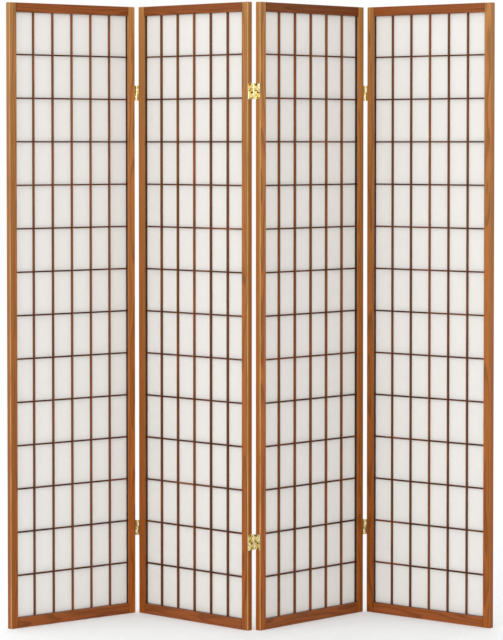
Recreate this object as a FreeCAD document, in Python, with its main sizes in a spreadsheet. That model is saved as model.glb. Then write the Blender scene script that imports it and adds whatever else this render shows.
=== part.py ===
"""A four-panel shoji folding screen: wooden frames, a thin lattice over paper, two-way brass hinges.

Millimetres and degrees. +Z is up, +X runs along the screen and +Y points away from the viewer.
The origin is on the floor under the middle of the standing screen.

Each panel is drawn once in its own space: X across it, Y from its front face to its back, Z up.
Each hinge is drawn in the gap between two panels: X across the gap, Y through the thickness and
Z up, from the hinge's own middle. Its front pin line is at low Y and its rear one at high Y.
"""
import FreeCAD
import Part
import Sketcher
import os
import re

SIZES = (
    ("panel_height", 1790.0, "height of a panel"),
    ("panel_width", 444.5, "width of a panel"),
    ("panel_thickness", 18.0, "thickness of the frame"),
    ("stile_width", 24.0, "face of the upright frame members"),
    ("top_rail_width", 27.0, "face of the top rail"),
    ("bottom_rail_width", 30.0, "face of the bottom rail"),
    ("edge_radius", 1.6, "rounding of the frame's outer edges"),
    ("arris_radius", 0.7, "rounding of the frame's inner front edges"),
    ("front_lip", 5.0, "wood left in front of the rabbet"),
    ("rabbet_width", 7.5, "how far the rabbet runs into the frame"),
    ("tenon_length", 14.0, "length of a rail's tenon"),
    ("tenon_thickness", 6.0, "thickness of a rail's tenon"),
    ("tenon_shoulder", 4.0, "wood above and below a tenon"),
    ("wood_clearance", 0.1, "clearance of a glued wood joint"),
    ("tray_clearance", 0.2, "clearance of the lattice in its rabbet"),
    ("lattice_columns", 6, "windows across a panel"),
    ("lattice_rows", 14, "windows up a panel"),
    ("lattice_depth", 8.0, "depth of every lattice strip"),
    ("upright_face", 3.5, "face of an upright lattice strip"),
    ("cross_face", 4.0, "face of a cross lattice strip"),
    ("stub_length", 2.0, "how far a strip enters the lattice's border"),
    ("paper_thickness", 0.4, "thickness of the paper"),
    ("bead_inset", 0.4, "back of the beads below the back of the frame"),
    ("first_heading", 39.3, "angle of the first panel from the X axis"),
    ("fold_1_turn", 82.8, "fold between panels 1 and 2, away from flat"),
    ("fold_2_turn", 89.9, "fold between panels 2 and 3, away from flat"),
    ("fold_3_turn", 86.3, "fold between panels 3 and 4, away from flat"),
    ("panel_gap", 11.5, "gap between two panels in line"),
    ("pin_stand_off", 1.2, "pin line in front of or behind the frame's face"),
    ("hinge_inset", 253.0, "middle of a hinge from the panel's end"),
    ("hinge_height", 44.0, "height of a hinge"),
    ("leaf_thickness", 1.4, "thickness of a hinge leaf"),
    ("link_thickness", 1.4, "thickness of a hinge link"),
    ("knuckle_radius", 2.8, "outside of a knuckle"),
    ("pin_radius", 1.4, "hinge pin"),
    ("pin_clearance", 0.05, "running clearance round a pin"),
    ("knuckle_clearance", 0.1, "end clearance of a knuckle"),
    ("link_clearance", 0.6, "link plate to the knuckles beside it"),
    ("pin_head_radius", 2.3, "domed head of a pin"),
    ("pin_head_height", 0.9, "height of a pin's head"),
    ("pin_head_rounding", 0.6, "rounding of a pin's head"),
    ("notch_radius", 3.8, "screw notch in a link"),
    ("screw_radius", 1.5, "shank of a hinge screw"),
    ("screw_head_radius", 2.8, "head of a hinge screw"),
    ("screw_length", 12.0, "length of a hinge screw"),
    ("screw_point", 3.0, "length of a screw's point"),
    ("screw_clearance", 0.08, "clearance round a screw"),
    ("recess_span", 3.4, "length of the cross recess in a screw"),
    ("recess_width", 0.8, "width of the cross recess in a screw"),
    ("recess_depth", 0.8, "depth of the cross recess in a screw"),
)

PANELS = 4
KNUCKLES = 6
SCREW_KNUCKLES = (1, 3, 4, 6)

OPEN_WIDTH = "(s.panel_width - 2 * s.stile_width)"
OPEN_HEIGHT = "(s.panel_height - s.top_rail_width - s.bottom_rail_width)"
BORDER_FACE = "(s.rabbet_width - s.tray_clearance)"
COLUMN_PITCH = f"(({OPEN_WIDTH} + {BORDER_FACE}) / s.lattice_columns)"
ROW_PITCH = f"(({OPEN_HEIGHT} + {BORDER_FACE}) / s.lattice_rows)"
KNUCKLE_PITCH = f"(s.hinge_height / {KNUCKLES})"
KNUCKLE_HEIGHT = f"({KNUCKLE_PITCH} - 2 * s.knuckle_clearance)"
PIN_LINE = "(s.panel_thickness / 2 + s.pin_stand_off)"
LEAF_INSIDE = f"({PIN_LINE} - s.knuckle_radius)"
BORE_RADIUS = "(s.pin_radius + s.pin_clearance)"
SCREW_HEAD_HEIGHT = "(s.screw_head_radius - s.screw_radius)"

doc = FreeCAD.newDocument("shoji_screen")
sheet = doc.addObject("Spreadsheet::Sheet", "Sizes")


def fill_sheet():
    """Write the driving dimensions, one to a row, each with a name of its own."""
    for row, (alias, value, note) in enumerate(SIZES, start=1):
        sheet.set(f"A{row}", note)
        sheet.set(f"B{row}", str(value))
        sheet.setAlias(f"B{row}", alias)
    doc.recompute()


def bind(item, **sizes):
    """Bind properties to expressions, where s stands for the sheet and __ for a dot."""
    for prop, expression in sizes.items():
        text = re.sub(r"\bs\.", "Sizes.", expression)
        item.setExpression(prop.replace("__", "."), text)


def place(x="0", y="0", z="0", axis="0; 0; 1", turn="0"):
    """An expression for a placement."""
    return f"placement(vector({x}; {y}; {z}); rotation(vector({axis}); {turn}))"


HALF_TURN_OVER = place(axis="0; 1; 0", turn="180")
HALF_TURN_ASIDE = place(axis="1; 0; 0", turn="180")


def origin_feature(body, role):
    """One of a body's own origin planes or axes."""
    return next(item for item in body.Origin.OriginFeatures if item.Role == role)


def box(name, corner, size, kind="Part::Box", body=None):
    """A box from its low corner and its size, all given as expressions."""
    item = body.newObject(kind, name) if body else doc.addObject(kind, name)
    bind(item, Length=size[0], Width=size[1], Height=size[2])
    bind(item, Placement__Base__x=corner[0], Placement__Base__y=corner[1], Placement__Base__z=corner[2])
    return item


def compound(name, items):
    """Several solids kept apart in one object."""
    item = doc.addObject("Part::Compound", name)
    item.Links = items
    return item


def cut(name, base, tool):
    """The base without the tool."""
    item = doc.addObject("Part::Cut", name)
    item.Base = base
    item.Tool = tool
    return item


def link(name, target, placement):
    """The same piece again in another place."""
    item = doc.addObject("App::Link", name)
    item.LinkedObject = target
    item.LinkTransform = True
    bind(item, Placement=placement)
    return item


def mirrored(name, source):
    """The piece for the other side of the panel."""
    item = doc.addObject("Part::Mirroring", name)
    item.Source = source
    item.Normal = FreeCAD.Vector(1, 0, 0)
    bind(item, Base__x="s.panel_width / 2")
    return item


def round_edges(body, base, radius, chosen):
    """Round the edges of the base whose middle the test accepts."""
    doc.recompute()
    edges = enumerate(base.Shape.Edges, start=1)
    rounding = body.newObject("PartDesign::Fillet", f"{base.Name}_rounded")
    rounding.Base = (base, [f"Edge{number}" for number, edge in edges if chosen(edge.CenterOfMass)])
    bind(rounding, Radius=radius)
    return rounding


# ---- the frame of a panel ------------------------------------------------------------------

def stile():
    """The left stile: rounded, rabbeted behind, with a mortise for each rail."""
    body = doc.addObject("PartDesign::Body", "stile")
    blank = box(
        "stile_blank",
        ("0", "0", "0"),
        ("s.stile_width", "s.panel_thickness", "s.panel_height"),
        "PartDesign::AdditiveBox",
        body,
    )

    def outside(middle):
        at_end = min(middle.z, sheet.panel_height - middle.z) < 1
        at_face = min(middle.y, sheet.panel_thickness - middle.y) < 1
        return middle.x < 1 or (at_end and at_face and middle.x < sheet.stile_width - 1)

    def inside_front(middle):
        return middle.x > sheet.stile_width - 1 and middle.y < 1 and middle.z > sheet.stile_width

    outer = round_edges(body, blank, "s.edge_radius", outside)
    round_edges(body, outer, "s.arris_radius", inside_front)
    box(
        "stile_rabbet",
        (
            "s.stile_width - s.rabbet_width",
            "s.front_lip",
            "s.bottom_rail_width - s.rabbet_width",
        ),
        (
            "s.rabbet_width",
            "s.panel_thickness - s.front_lip",
            f"{OPEN_HEIGHT} + 2 * s.rabbet_width",
        ),
        "PartDesign::SubtractiveBox",
        body,
    )
    for end in ("bottom", "top"):
        low, height = tenon_span(end)
        box(
            f"mortise_{end}",
            (
                "s.stile_width - s.tenon_length - s.wood_clearance",
                "(s.panel_thickness - s.tenon_thickness) / 2 - s.wood_clearance",
                f"{low} - s.wood_clearance",
            ),
            (
                "s.tenon_length + s.wood_clearance",
                "s.tenon_thickness + 2 * s.wood_clearance",
                f"{height} + 2 * s.wood_clearance",
            ),
            "PartDesign::SubtractiveBox",
            body,
        )
    return body


def tenon_span(end):
    """The low edge and the height of a rail's tenons."""
    low = "s.tenon_shoulder"
    if end == "top":
        low = "s.panel_height - s.top_rail_width + s.rabbet_width + s.tenon_shoulder"
    return low, f"(s.{end}_rail_width - s.rabbet_width - 2 * s.tenon_shoulder)"


def rail(end):
    """A rail between the stiles, with a tenon at each end and a rabbet along its inner edge."""
    width = f"s.{end}_rail_width"
    low = "0" if end == "bottom" else "s.panel_height - s.top_rail_width"
    rabbet_low = f"{width} - s.rabbet_width" if end == "bottom" else low
    body = doc.addObject("PartDesign::Body", f"rail_{end}")
    blank = box(
        f"rail_{end}_blank",
        ("s.stile_width", "0", low),
        (OPEN_WIDTH, "s.panel_thickness", width),
        "PartDesign::AdditiveBox",
        body,
    )

    def along(middle):
        return abs(middle.x - sheet.panel_width / 2) < 1

    def at_outer_edge(middle):
        return middle.z < 1 if end == "bottom" else middle.z > sheet.panel_height - 1

    def inside_front(middle):
        return along(middle) and middle.y < 1 and abs(middle.z - inner_edge) < 1

    inner_edge = sheet.bottom_rail_width if end == "bottom" else sheet.panel_height - sheet.top_rail_width
    outer = round_edges(body, blank, "s.edge_radius", lambda spot: along(spot) and at_outer_edge(spot))
    round_edges(body, outer, "s.arris_radius", inside_front)
    tenon_low, tenon_height = tenon_span(end)
    starts = {"left": "s.stile_width - s.tenon_length", "right": "s.panel_width - s.stile_width"}
    for side, start in starts.items():
        box(
            f"tenon_{end}_{side}",
            (start, "(s.panel_thickness - s.tenon_thickness) / 2", tenon_low),
            ("s.tenon_length", "s.tenon_thickness", tenon_height),
            "PartDesign::AdditiveBox",
            body,
        )
    box(
        f"rail_{end}_rabbet",
        ("s.stile_width", "s.front_lip", rabbet_low),
        (OPEN_WIDTH, "s.panel_thickness - s.front_lip", "s.rabbet_width"),
        "PartDesign::SubtractiveBox",
        body,
    )
    return body


# ---- the lattice, the paper and the beads behind it ----------------------------------------

def strips(name, corner, size, axis, pitch, windows):
    """A row of equal strips, one between each two windows."""
    body = doc.addObject("PartDesign::Body", name)
    first = box(f"{name}_first", corner, size, "PartDesign::AdditiveBox", body)
    doc.recompute()
    row = body.newObject("PartDesign::LinearPattern", f"{name}_row")
    row.Originals = [first]
    row.Direction = (origin_feature(body, axis), [""])
    bind(row, Length=f"({windows} - 2) * {pitch}", Occurrences=f"{windows} - 1")
    body.Tip = row
    return body


def uprights(name, front, depth, reach, slack="0"):
    """A row of boxes that follows the upright strips and runs past the opening by the reach."""
    first = f"s.stile_width - {BORDER_FACE} / 2 + {COLUMN_PITCH} - s.upright_face / 2"
    return strips(
        name,
        (f"{first} - {slack}", front, f"s.bottom_rail_width - {reach}"),
        (f"s.upright_face + 2 * {slack}", depth, f"{OPEN_HEIGHT} + 2 * {reach}"),
        "X_Axis",
        COLUMN_PITCH,
        "s.lattice_columns",
    )


def crosses(name, front, depth, reach, slack="0"):
    """A row of boxes that follows the cross strips and runs past the opening by the reach."""
    first = f"s.bottom_rail_width - {BORDER_FACE} / 2 + {ROW_PITCH} - s.cross_face / 2"
    return strips(
        name,
        (f"s.stile_width - {reach}", front, f"{first} - {slack}"),
        (f"{OPEN_WIDTH} + 2 * {reach}", depth, f"s.cross_face + 2 * {slack}"),
        "Z_Axis",
        ROW_PITCH,
        "s.lattice_rows",
    )


def surround(name, front, depth):
    """Four strips in the rabbet round the opening, the upright pair running through."""
    low = f"s.bottom_rail_width - {BORDER_FACE}"
    high = "s.panel_height - s.top_rail_width"
    tall = f"{OPEN_HEIGHT} + 2 * {BORDER_FACE}"
    return (
        box(f"{name}_left", (f"s.stile_width - {BORDER_FACE}", front, low), (BORDER_FACE, depth, tall)),
        box(f"{name}_right", ("s.panel_width - s.stile_width", front, low), (BORDER_FACE, depth, tall)),
        box(f"{name}_bottom", ("s.stile_width", front, low), (OPEN_WIDTH, depth, BORDER_FACE)),
        box(f"{name}_top", ("s.stile_width", front, high), (OPEN_WIDTH, depth, BORDER_FACE)),
    )


def lattice():
    """The strips, half-lapped where they cross, and the border that houses their ends."""
    front = "s.front_lip"
    depth = "s.lattice_depth"
    lap = "(s.lattice_depth / 2 + s.wood_clearance / 2)"
    rear_lap_front = f"{front} + {depth} - {lap}"
    seat = "(s.stub_length + s.wood_clearance)"
    upright = cut(
        "upright_strips",
        uprights("upright_blanks", front, depth, "s.stub_length"),
        crosses("laps_for_crosses", rear_lap_front, lap, "0", "s.wood_clearance"),
    )
    cross = cut(
        "cross_strips",
        crosses("cross_blanks", front, depth, "s.stub_length"),
        uprights("laps_for_uprights", front, lap, "0", "s.wood_clearance"),
    )
    seats = compound(
        "border_seats",
        [
            uprights("upright_seats", front, depth, seat, "s.wood_clearance"),
            crosses("cross_seats", front, depth, seat, "s.wood_clearance"),
        ],
    )
    border = [cut(f"{strip.Name}_seated", strip, seats) for strip in surround("border", front, depth)]
    return upright, cross, compound("border", border)


def paper():
    """The paper, glued to the back of the lattice and its border."""
    return box(
        "paper",
        (
            f"s.stile_width - {BORDER_FACE}",
            "s.front_lip + s.lattice_depth",
            f"s.bottom_rail_width - {BORDER_FACE}",
        ),
        (
            f"{OPEN_WIDTH} + 2 * {BORDER_FACE}",
            "s.paper_thickness",
            f"{OPEN_HEIGHT} + 2 * {BORDER_FACE}",
        ),
    )


def beads():
    """The strips that hold the paper and the lattice in the rabbet from behind."""
    front = "(s.front_lip + s.lattice_depth + s.paper_thickness)"
    return compound("beads", surround("bead", front, f"s.panel_thickness - s.bead_inset - {front}"))


# ---- the two-way hinge ---------------------------------------------------------------------

def sketch(body, name, plane):
    """An empty sketch on one of the body's own planes."""
    item = body.newObject("Sketcher::SketchObject", name)
    item.AttachmentSupport = [(origin_feature(body, plane), "")]
    item.MapMode = "FlatFace"
    return item


def pad(body, profile, length, midplane=False):
    """Pad a sketch, half of the length each way where midplane is asked for."""
    item = body.newObject("PartDesign::Pad", f"{profile.Name}_pad")
    item.Profile = profile
    item.Midplane = midplane
    bind(item, Length=length)
    return item


def middle_rectangle(profile, width, height):
    """A rectangle about the sketch's origin."""
    corners = [FreeCAD.Vector(x, y, 0) for x, y in ((-1, -1), (1, -1), (1, 1), (-1, 1))]
    for start, end in zip(corners, corners[1:] + corners[:1]):
        profile.addGeometry(Part.LineSegment(start, end))
    for side, word in enumerate(("Horizontal", "Vertical", "Horizontal", "Vertical")):
        profile.addConstraint(Sketcher.Constraint("Coincident", side, 2, (side + 1) % 4, 1))
        profile.addConstraint(Sketcher.Constraint(word, side))
    profile.addConstraint(Sketcher.Constraint("Symmetric", 0, 1, 2, 1, -1, 1))
    across = profile.addConstraint(Sketcher.Constraint("DistanceX", 0, 1, 0, 2, 2.0))
    upward = profile.addConstraint(Sketcher.Constraint("DistanceY", 1, 1, 1, 2, 2.0))
    bind(profile, **{f"Constraints[{across}]": width, f"Constraints[{upward}]": height})


def front_circle(profile, radius):
    """A circle about the front pin line, which is below the sketch's origin."""
    profile.addGeometry(Part.Circle(FreeCAD.Vector(0, -5, 0), FreeCAD.Vector(0, 0, 1), 1))
    profile.addConstraint(Sketcher.Constraint("PointOnObject", 0, 3, -2))
    drop = profile.addConstraint(Sketcher.Constraint("DistanceY", 0, 3, -1, 1, 5.0))
    size = profile.addConstraint(Sketcher.Constraint("Radius", 0, 1.0))
    bind(profile, **{f"Constraints[{drop}]": PIN_LINE, f"Constraints[{size}]": radius})


def half_turn(body, name, originals):
    """The same features again after a half turn about the body's X axis."""
    doc.recompute()
    item = body.newObject("PartDesign::PolarPattern", name)
    item.Originals = originals
    item.Axis = (origin_feature(body, "X_Axis"), [""])
    item.Angle = 360
    item.Occurrences = 2
    body.Tip = item


def bore(body, name, low):
    """Bore the front pin line for half a hinge's height from a low end, and its half turn."""
    item = body.newObject("PartDesign::SubtractiveCylinder", name)
    bind(item, Radius=BORE_RADIUS, Height="s.hinge_height / 2")
    bind(item, Placement__Base__y=f"-{PIN_LINE}", Placement__Base__z=low)
    half_turn(body, f"{name}_pair", [item])


def leaf():
    """A leaf on the left panel's edge: front knuckles below its middle, rear ones above.

    A half turn about X carries one pair of knuckles into the other, and a half turn about Y
    makes the leaf of the right panel.
    """
    body = doc.addObject("PartDesign::Body", "leaf")
    front = f"-({LEAF_INSIDE} + s.leaf_thickness)"
    box(
        "leaf_plate",
        ("-s.panel_gap / 2", front, "-s.hinge_height / 2"),
        ("s.leaf_thickness", f"2 * ({LEAF_INSIDE} + s.leaf_thickness)", "s.hinge_height"),
        "PartDesign::AdditiveBox",
        body,
    )
    knuckles = []
    for word, steps_down in (("inner", 1), ("outer", 3)):
        low = f"-{steps_down} * {KNUCKLE_PITCH} + s.knuckle_clearance"
        arm = box(
            f"leaf_arm_{word}",
            ("-s.panel_gap / 2", front, low),
            ("s.panel_gap / 2", "s.leaf_thickness", KNUCKLE_HEIGHT),
            "PartDesign::AdditiveBox",
            body,
        )
        barrel = body.newObject("PartDesign::AdditiveCylinder", f"leaf_knuckle_{word}")
        bind(barrel, Radius="s.knuckle_radius", Height=KNUCKLE_HEIGHT)
        bind(barrel, Placement__Base__y=f"-{PIN_LINE}", Placement__Base__z=low)
        knuckles += [arm, barrel]
    half_turn(body, "leaf_knuckles", knuckles)
    bore(body, "leaf_bore", "-s.hinge_height / 2")
    return body


def hinge_link():
    """The link between two pin lines, half a hinge high, notched over the screws."""
    body = doc.addObject("PartDesign::Body", "hinge_link")
    plate = sketch(body, "link_plate", "YZ_Plane")
    middle_rectangle(
        plate,
        f"2 * ({LEAF_INSIDE} - s.link_clearance)",
        "s.hinge_height / 2 - 2 * s.knuckle_clearance",
    )
    pad(body, plate, "s.link_thickness", midplane=True)
    doc.recompute()
    notch = body.newObject("PartDesign::SubtractiveCylinder", "link_notch")
    bind(
        notch,
        Radius="s.notch_radius",
        Height="2 * s.link_thickness",
        Placement=place("-s.link_thickness", z=KNUCKLE_PITCH, axis="0; 1; 0", turn="90"),
    )
    mouth = box(
        "link_notch_mouth",
        ("-s.link_thickness", "-s.notch_radius", KNUCKLE_PITCH),
        ("2 * s.link_thickness", "2 * s.notch_radius", KNUCKLE_PITCH),
        "PartDesign::SubtractiveBox",
        body,
    )
    half_turn(body, "link_notches", [notch, mouth])
    tongue = box(
        "link_tongue",
        ("-s.link_thickness / 2", f"-{PIN_LINE}", f"-{KNUCKLE_HEIGHT} / 2"),
        ("s.link_thickness", PIN_LINE, KNUCKLE_HEIGHT),
        "PartDesign::AdditiveBox",
        body,
    )
    barrel = sketch(body, "link_knuckle", "XY_Plane")
    front_circle(barrel, "s.knuckle_radius")
    knuckle = pad(body, barrel, KNUCKLE_HEIGHT, midplane=True)
    half_turn(body, "link_knuckles", [tongue, knuckle])
    bore(body, "link_bore", "-s.hinge_height / 4")
    return body


def pin():
    """A pin through the three front knuckles of a hinge's upper half, with a domed head on top."""
    body = doc.addObject("PartDesign::Body", "pin")
    shaft = sketch(body, "pin_shaft", "XY_Plane")
    front_circle(shaft, "s.pin_radius")
    bind(shaft, AttachmentOffset__Base__z="s.knuckle_clearance")
    pad(body, shaft, "s.hinge_height / 2 - 2 * s.knuckle_clearance")
    disc = sketch(body, "pin_head", "XY_Plane")
    front_circle(disc, "s.pin_head_radius")
    bind(disc, AttachmentOffset__Base__z="s.hinge_height / 2 - s.knuckle_clearance")
    head = pad(body, disc, "s.pin_head_height")
    doc.recompute()
    top = head.Shape.BoundBox.ZMax
    rounding = "min(s.pin_head_rounding; s.pin_head_height * 0.9)"
    round_edges(body, head, rounding, lambda middle: middle.z > top - 0.01)
    return body


def turned(name, narrow, wide, low, height):
    """A cone or, where its two ends are alike, a cylinder, upright on the Z axis."""
    straight = narrow == wide
    item = doc.addObject("Part::Cylinder" if straight else "Part::Cone", name)
    if straight:
        bind(item, Radius=wide)
    else:
        bind(item, Radius1=narrow, Radius2=wide)
    bind(item, Height=height, Placement__Base__z=low)
    return item


def fused(name, items):
    """Several touching solids made one."""
    item = doc.addObject("Part::MultiFuse", name)
    item.Shapes = items
    return item


def screw():
    """A countersunk screw with a cross recess, its head's face at the origin, pointing down."""
    shank_low = "-(s.screw_length - s.screw_point)"
    head = turned(
        "screw_head", "s.screw_radius", "s.screw_head_radius", f"-{SCREW_HEAD_HEIGHT}", SCREW_HEAD_HEIGHT
    )
    shank = turned(
        "screw_shank",
        "s.screw_radius",
        "s.screw_radius",
        shank_low,
        f"s.screw_length - s.screw_point - {SCREW_HEAD_HEIGHT}",
    )
    point = turned("screw_tip", "0", "s.screw_radius", "-s.screw_length", "s.screw_point")
    long, wide = "s.recess_span", "s.recess_width"
    slots = []
    for name, across, along in (("screw_slot_one", long, wide), ("screw_slot_two", wide, long)):
        corner = (f"-{across} / 2", f"-{along} / 2", "-s.recess_depth")
        slots.append(box(name, corner, (across, along, "2 * s.recess_depth")))
    return cut("screw", fused("screw_solid", [head, shank, point]), compound("screw_slots", slots))


def screw_room():
    """The hole for a screw: its countersink and its shank, with clearance all round."""
    wide = "s.screw_head_radius + s.screw_clearance"
    narrow = "s.screw_radius + s.screw_clearance"
    sink = turned("screw_sink", narrow, wide, f"-{SCREW_HEAD_HEIGHT}", SCREW_HEAD_HEIGHT)
    deep = "s.screw_length + s.screw_clearance"
    return fused("screw_room", [sink, turned("screw_hole", narrow, narrow, f"-({deep})", deep)])


def screw_places():
    """The places of the four screws of a leaf, outwards from its face into the left panel."""
    places = []
    for knuckle in SCREW_KNUCKLES:
        up = f"({KNUCKLES + 1} / 2 - {knuckle}) * {KNUCKLE_PITCH}"
        places.append(place("-s.panel_gap / 2 + s.leaf_thickness", z=up, axis="0; 1; 0", turn="90"))
    return places


def at_both_hinges(name, target, places):
    """The piece at both hinges of a fold, in each of the places given."""
    copies = []
    for high in ("s.hinge_inset", "s.panel_height - s.hinge_inset"):
        for spot in places:
            copies.append(link(f"{name}_copy", target, f"{place(z=high)} * {spot}"))
    return compound(name, copies)


def hinge_sets(room):
    """What each fold carries, drawn once for both of its hinges."""
    holes = [link("leaf_hole", room, spot) for spot in screw_places()]
    on_left = {
        "leaves": (cut("leaf_drilled", leaf(), compound("leaf_holes", holes)), [place()]),
        "pins": (pin(), [HALF_TURN_OVER, f"{HALF_TURN_OVER} * {HALF_TURN_ASIDE}"]),
        "screws": (screw(), screw_places()),
    }
    sets = {}
    for word, (piece, places) in on_left.items():
        sets[f"{word}_left"] = at_both_hinges(f"{word}_on_left", piece, places)
        over = [f"{HALF_TURN_OVER} * {spot}" for spot in places]
        sets[f"{word}_right"] = at_both_hinges(f"{word}_on_right", piece, over)
    one_link = hinge_link()
    for word, sign in (("lower", "-"), ("upper", "")):
        half = place(z=f"{sign}s.hinge_height / 4")
        sets[f"links_{word}"] = at_both_hinges(f"{word}_links", one_link, [half])
    return sets


# ---- putting it together -------------------------------------------------------------------

def opens_in_front(fold):
    """The first and third folds stand open at their front pins, the second at its rear ones."""
    return fold % 2 == 1


def panel_frames():
    """A coordinate system for each panel, each turned about the open pin line of its fold."""
    frames = [doc.addObject("Part::LocalCoordinateSystem", "screen_frame")]
    for number in range(1, PANELS + 1):
        frame = doc.addObject("Part::LocalCoordinateSystem", f"panel_{number}_frame")
        step = place(turn="s.first_heading")
        if number > 1:
            in_front = opens_in_front(number - 1)
            line = "-s.pin_stand_off" if in_front else "s.panel_thickness + s.pin_stand_off"
            turn = f"{'-' if in_front else ''}s.fold_{number - 1}_turn"
            to_line = place("s.panel_width + s.panel_gap / 2", line, turn=turn)
            step = f"{to_line} * {place('s.panel_gap / 2', f'-({line})')}"
        bind(frame, Placement=f"{frames[-1].Name}.Placement * {step}")
        frames.append(frame)
    return frames


def sub_part(label, target, placement):
    """A finished sub-part: one of the drawn pieces, standing in its place."""
    item = compound(label, [link(f"{label}_piece", target, place())])
    item.Label = label
    bind(item, Placement=placement)
    return item


def panel_parts(frames):
    """The pieces of each panel. A stile is drilled where a hinge is screwed to it."""
    room = screw_room()
    over = [f"{HALF_TURN_OVER} * {spot}" for spot in screw_places()]
    holes = at_both_hinges("stile_holes", room, over)
    drilling = link("stile_drilling", holes, place("-s.panel_gap / 2", "s.panel_thickness / 2"))
    plain = stile()
    drilled = cut("stile_drilled", plain, drilling)
    mirrored_stiles = mirrored("right_stile", plain), mirrored("right_stile_drilled", drilled)
    uprights_made, crosses_made, border = lattice()
    shared = {
        "rail_top": rail("top"),
        "rail_bottom": rail("bottom"),
        "lattice_border": border,
        "lattice_uprights": uprights_made,
        "lattice_crosses": crosses_made,
        "paper": paper(),
        "back_beads": beads(),
    }
    parts = []
    for number in range(1, PANELS + 1):
        stiles = {
            "stile_left": drilled if number > 1 else plain,
            "stile_right": mirrored_stiles[number < PANELS],
        }
        for word, piece in {**stiles, **shared}.items():
            parts.append(sub_part(f"panel_{number}_{word}", piece, f"{frames[number].Name}.Placement"))
    return parts, room


def fold_parts(frames, room):
    """The pieces of each fold's hinges. A link turns with the panel that its closed pin line is on."""
    sets = hinge_sets(room)
    parts = []
    for fold in range(1, PANELS):
        to_left = place("s.panel_width + s.panel_gap / 2", "s.panel_thickness / 2")
        to_right = place("-s.panel_gap / 2", "s.panel_thickness / 2")
        left = f"{frames[fold].Name}.Placement * {to_left}"
        right = f"{frames[fold + 1].Name}.Placement * {to_right}"
        lower, upper = (right, left) if opens_in_front(fold) else (left, right)
        sides = {"left": left, "right": right, "lower": lower, "upper": upper}
        for word, piece in sets.items():
            parts.append(sub_part(f"fold_{fold}_{word}", piece, sides[word.split("_")[1]]))
    return parts


def centre_on_floor(screen_frame, parts):
    """Move the whole screen so that the middle of its box stands over the origin."""
    doc.recompute()
    boxes = [item.Shape.optimalBoundingBox(False, False) for item in parts]
    middle_x = (min(item.XMin for item in boxes) + max(item.XMax for item in boxes)) / 2
    middle_y = (min(item.YMin for item in boxes) + max(item.YMax for item in boxes)) / 2
    screen_frame.Placement = FreeCAD.Placement(
        FreeCAD.Vector(-middle_x, -middle_y, 0), FreeCAD.Rotation()
    )
    doc.recompute()


def check(parts):
    """Stop if anything failed to build."""
    for item in doc.Objects:
        if "Invalid" in item.State or "Error" in item.State:
            raise RuntimeError(f"{item.Label} did not build: {item.State}")
    for item in parts:
        if item.Shape.isNull() or not item.Shape.isValid() or not item.Shape.Solids:
            raise RuntimeError(f"{item.Label} has no sound shape")
        if min(solid.Volume for solid in item.Shape.Solids) <= 0:
            raise RuntimeError(f"{item.Label} has a solid with no volume")


def write(parts):
    """One file for each sub-part."""
    os.makedirs("parts", exist_ok=True)
    for item in parts:
        item.Shape.exportStep(os.path.join("parts", item.Label + ".step"))
    print(len(parts), "sub-parts,", sum(len(item.Shape.Solids) for item in parts), "solids")


fill_sheet()
frames = panel_frames()
parts, room = panel_parts(frames)
parts += fold_parts(frames, room)
centre_on_floor(frames[0], parts)
check(parts)
write(parts)
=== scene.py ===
"""A four-panel shoji folding screen: its finishes, lattice, paper and screws, round a fixed frame.

Metres and radians. +Z is up, +X runs along the screen and +Y points away from the viewer. Each
panel also has a space of its own, with X across it from its left edge, Y from its front face to
its back and Z up from the floor.
"""

import math

import bmesh
import bpy
from mathutils import Matrix, Vector


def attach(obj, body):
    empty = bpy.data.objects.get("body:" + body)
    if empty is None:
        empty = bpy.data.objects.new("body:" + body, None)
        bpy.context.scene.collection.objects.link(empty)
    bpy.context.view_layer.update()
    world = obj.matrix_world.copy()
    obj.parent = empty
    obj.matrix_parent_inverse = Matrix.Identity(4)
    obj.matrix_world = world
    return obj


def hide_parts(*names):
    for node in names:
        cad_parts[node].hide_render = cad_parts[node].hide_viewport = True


bl_info = {
    "name": "Shoji Folding Screen",
    "version": (1, 0, 0),
    "blender": (4, 5, 0),
    "location": "3D View > Sidebar > Screen",
    "description": "Stained frames, a thin lattice, paper and brass hinges for a folding screen",
    "category": "Object",
}

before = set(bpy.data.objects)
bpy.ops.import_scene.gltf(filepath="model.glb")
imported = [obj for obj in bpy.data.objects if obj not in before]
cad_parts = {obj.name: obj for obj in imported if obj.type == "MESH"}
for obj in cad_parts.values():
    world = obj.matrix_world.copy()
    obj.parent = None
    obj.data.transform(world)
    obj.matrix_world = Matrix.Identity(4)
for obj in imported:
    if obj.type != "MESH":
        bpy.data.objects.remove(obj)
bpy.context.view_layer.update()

PANELS = (1, 2, 3, 4)
FOLDS = (1, 2, 3)
MILLIMETRE = 0.001


# ---- where things are ----------------------------------------------------------------------

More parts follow.
